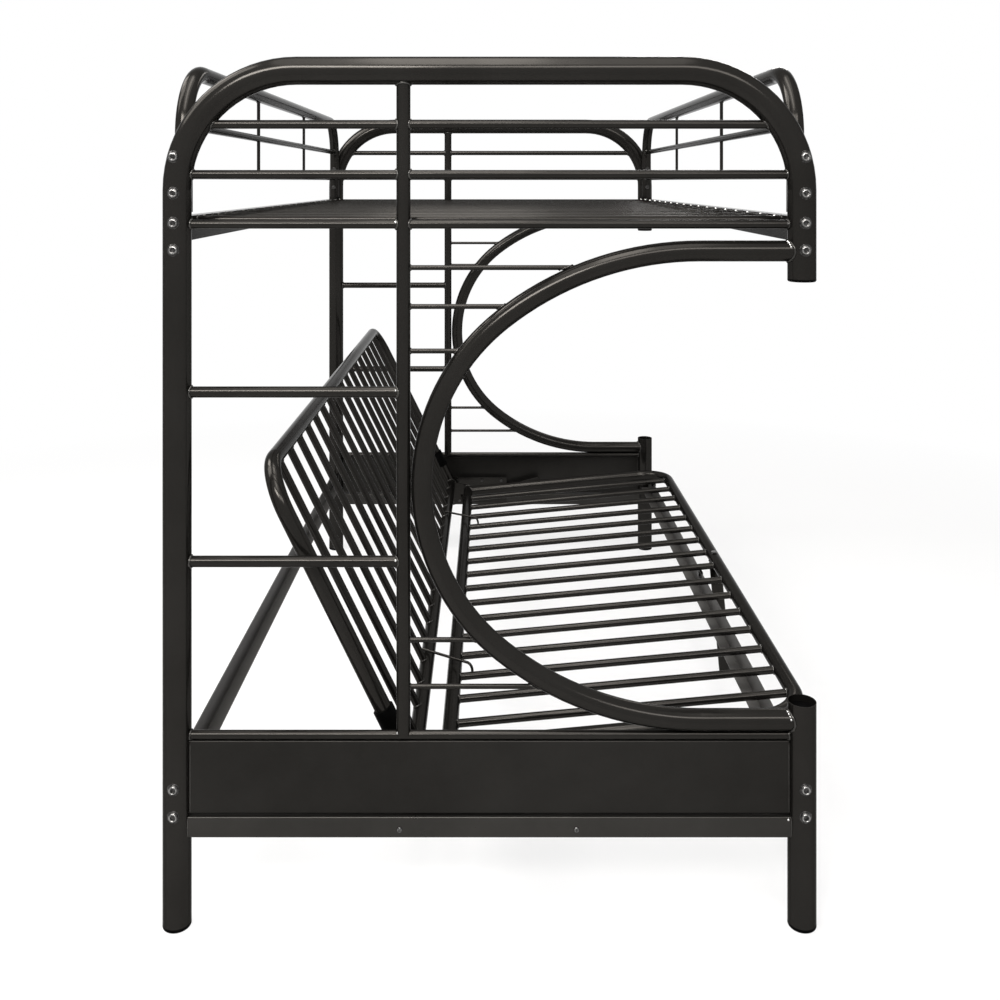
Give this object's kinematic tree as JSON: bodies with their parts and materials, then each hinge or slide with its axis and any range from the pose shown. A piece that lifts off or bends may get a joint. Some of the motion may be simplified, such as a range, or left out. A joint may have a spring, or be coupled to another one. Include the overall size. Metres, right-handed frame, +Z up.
{
  "type": "futon bunk bed",
  "caption": "Tubular steel bunk bed with C-shaped end frames and end ladders above a slatted futon that slides forward and folds flat.",
  "frame": {"origin": "on the floor, at the middle of the outline of the bed with the futon upright", "axes": "+Z up, Y along the length of the bed, +X towards the open front"},
  "size_m": [1.244, 2.0248, 1.563],
  "materials": {
    "black_powder_coat": "black powder coat, semi-gloss",
    "dark_hardware": "black oxide with bright worn edges",
    "black_plastic": "moulded, matte",
    "black_rubber": "moulded, matte"
  },
  "bodies": {
    "frame": {"deck_slats": "black_powder_coat", "far_accent_bars": "black_powder_coat", "far_arch_tube": "black_powder_coat", "far_c_tube": "black_powder_coat", "far_crossbars": "black_powder_coat", "far_futon_track": "black_powder_coat", "far_ladder_post": "black_powder_coat", "far_ladder_rungs": "black_powder_coat", "far_lower_front_post": "black_powder_coat", "far_panel_bottom_rail": "black_powder_coat", "far_panel_sheet": "black_powder_coat", "far_panel_top_bar": "black_powder_coat", "front_deck_rail": "black_powder_coat", "front_guard_bars": "black_powder_coat", "front_guard_tube": "black_powder_coat", "front_lower_rail": "black_powder_coat", "front_rail_clip": "black_powder_coat", "guard_balusters": "black_powder_coat", "near_accent_bars": "black_powder_coat", "near_arch_tube": "black_powder_coat", "near_c_tube": "black_powder_coat", "near_crossbars": "black_powder_coat", "near_futon_track": "black_powder_coat", "near_ladder_post": "black_powder_coat", "near_ladder_rungs": "black_powder_coat", "near_lower_front_post": "black_powder_coat", "near_panel_bottom_rail": "black_powder_coat", "near_panel_sheet": "black_powder_coat", "near_panel_top_bar": "black_powder_coat", "panel_screws": "dark_hardware", "post_bolts": "dark_hardware", "post_feet": "black_plastic", "post_nuts": "dark_hardware", "post_plugs": "black_plastic", "rail_clip_bolts": "dark_hardware", "rail_end_plates": "black_powder_coat", "rear_deck_rail": "black_powder_coat", "rear_guard_bars": "black_powder_coat", "rear_guard_tube": "black_powder_coat", "rear_lower_rail": "black_powder_coat", "seat_rest_pads": "black_plastic", "track_studs": "dark_hardware"},
    "carriage": {"glide_blocks": "black_plastic", "carriage_brackets": "black_powder_coat", "hinge_pins": "dark_hardware"},
    "seat": {"seat_front_tube": "black_powder_coat", "seat_rear_tube": "black_powder_coat", "seat_bars": "black_powder_coat", "seat_hinge_plates": "black_powder_coat", "seat_leg": "black_powder_coat", "seat_leg_tip": "black_rubber", "seat_leg_bolt": "dark_hardware", "mattress_wires": "black_powder_coat"},
    "back": {"back_top_tube": "black_powder_coat", "back_bottom_tube": "black_powder_coat", "back_bars": "black_powder_coat", "back_sleeves": "black_plastic", "back_end_plugs": "black_plastic", "back_hinge_bushes": "black_plastic"}
  },
  "joints": [
    {"name": "futon_slide", "type": "slide", "parent": "frame", "child": "carriage", "axis": [0.9674, 0, 0.2531], "range_m": [0, 0.28207]},
    {"name": "seat_level", "type": "hinge", "parent": "carriage", "child": "seat", "pos_m": [-0.17592, 0, 0.2532], "axis": [0, 1, 0], "range_deg": [0, 5.3]},
    {"name": "back_recline", "type": "hinge", "parent": "carriage", "child": "back", "pos_m": [-0.17592, 0, 0.2532], "axis": [0, -1, 0], "range_deg": [0, 63.55]}
  ],
  "couplings": [
    {"joint": "seat_level", "follows": "futon_slide", "rad_per_m": 0.32795},
    {"joint": "back_recline", "follows": "futon_slide", "rad_per_m": 3.9323}
  ]
}
